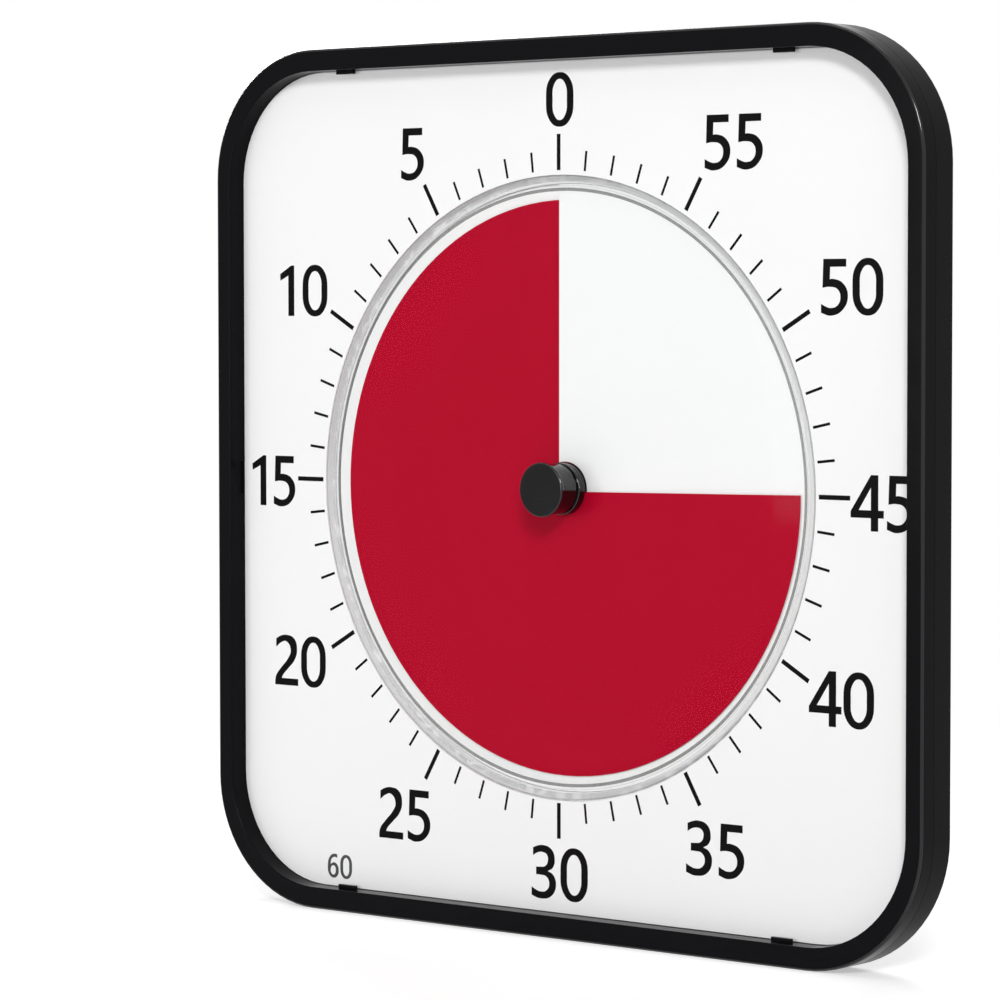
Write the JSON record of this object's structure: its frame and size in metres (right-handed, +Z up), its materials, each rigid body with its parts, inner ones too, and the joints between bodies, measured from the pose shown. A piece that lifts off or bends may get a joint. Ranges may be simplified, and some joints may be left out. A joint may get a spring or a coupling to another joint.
{
  "type": "visual countdown timer",
  "caption": "Square free-standing or wall-hung dial timer with a round window, a wound red disc turned by a central knob, a clockwork-style gear train, swing-out feet and a rear battery bay.",
  "frame": {"origin": "middle of the base face that the timer stands on", "axes": "+X to the right seen from the front, +Y backwards, +Z up; the dial faces -Y"},
  "size_m": [0.432, 0.1033, 0.432],
  "materials": {
    "gloss_black": "glossy",
    "satin_black": "satin",
    "card_white": "matte",
    "tray_white": "matte",
    "clear": "clear",
    "dial_white": "matte",
    "dial_red": "matte",
    "steel": "plain",
    "brass": "plain",
    "gear_white": "matte",
    "box_grey": "matte",
    "board_green": "satin",
    "chip_black": "matte",
    "speaker_dark": "satin",
    "red_lead": "satin",
    "black_lead": "satin",
    "cell_green": "glossy",
    "rubber": "matte"
  },
  "bodies": {
    "case": {"front_bezel": "gloss_black", "rear_shell": "gloss_black", "scale_card": "card_white", "dial_tray": "tray_white", "lens": "clear", "slotted_dial": "dial_white", "spindle_bush": "brass", "gear_pins": "steel", "gearbox_cover": "box_grey", "gearbox_base": "box_grey", "gearbox_screws": "steel", "drive_motor": "steel", "motor_leads": "red_lead", "circuit_board": "board_green", "board_parts": "chip_black", "board_screws": "steel", "loudspeaker": "speaker_dark", "speaker_leads": "black_lead", "range_switch": "chip_black", "volume_control": "chip_black", "batteries": "cell_green", "battery_contacts": "steel", "battery_leads": "black_lead", "foot_pins": "steel", "case_screws": "steel"},
    "dial": {"knob": "gloss_black", "disc_hub": "gloss_black", "spindle": "steel", "spindle_clips": "steel", "clutch_hub": "brass", "clutch_spring": "steel", "main_wheel": "gear_white"},
    "red_sheet": {"red_disc": "dial_red"},
    "second_arbor": {"second_wheel": "gear_white"},
    "third_arbor": {"third_wheel": "gear_white"},
    "motor_shaft": {"motor_pinion": "brass"},
    "volume_dial": {"volume_wheel": "satin_black"},
    "range_slider": {"range_switch_knob": "satin_black"},
    "door": {"battery_door": "satin_black"},
    "left_leg": {"left_foot": "satin_black", "left_foot_pad": "rubber"},
    "right_leg": {"right_foot": "satin_black", "right_foot_pad": "rubber"}
  },
  "joints": [
    {"name": "dial_turn", "type": "hinge", "parent": "case", "child": "dial", "pos_m": [0, 0, 0.216], "axis": [0, 1, 0], "range_deg": [-90, 270]},
    {"name": "sheet_lead", "type": "slide", "parent": "dial", "child": "red_sheet", "axis": [0, 1, 0], "range_m": [-0.00051, 0.00152]},
    {"name": "second_turn", "type": "hinge", "parent": "case", "child": "second_arbor", "pos_m": [-0.02078, 0, 0.228], "axis": [0, 1, 0], "range_deg": [-1081, 361]},
    {"name": "third_turn", "type": "hinge", "parent": "case", "child": "third_arbor", "pos_m": [-0.04027, 0, 0.21675], "axis": [0, 1, 0], "range_deg": [-1442, 4322]},
    {"name": "motor_turn", "type": "hinge", "parent": "case", "child": "motor_shaft", "pos_m": [-0.04027, 0, 0.19875], "axis": [0, 1, 0], "range_deg": [-21610, 7210]},
    {"name": "volume_turn", "type": "hinge", "parent": "case", "child": "volume_dial", "pos_m": [0.073, 0, 0.221], "axis": [0, 1, 0], "range_deg": [-140, 140]},
    {"name": "range_slide", "type": "slide", "parent": "case", "child": "range_slider", "axis": [1, 0, 0], "range_m": [-0.008, 0.004]},
    {"name": "door_slide", "type": "slide", "parent": "case", "child": "door", "axis": [0, 0, -1], "range_m": [0, 0.04]},
    {"name": "left_foot_swing", "type": "hinge", "parent": "case", "child": "left_leg", "pos_m": [-0.11, 0.0075, 0.013], "axis": [0, 0, -1], "range_deg": [0, 90]},
    {"name": "right_foot_swing", "type": "hinge", "parent": "case", "child": "right_leg", "pos_m": [0.11, 0.0075, 0.013], "axis": [0, 0, 1], "range_deg": [0, 90]}
  ],
  "couplings": [
    {"joint": "sheet_lead", "follows": "dial_turn", "m_per_rad": 0.00031831},
    {"joint": "second_turn", "follows": "dial_turn", "ratio": -4},
    {"joint": "third_turn", "follows": "dial_turn", "ratio": 16},
    {"joint": "motor_turn", "follows": "dial_turn", "ratio": -80}
  ]
}
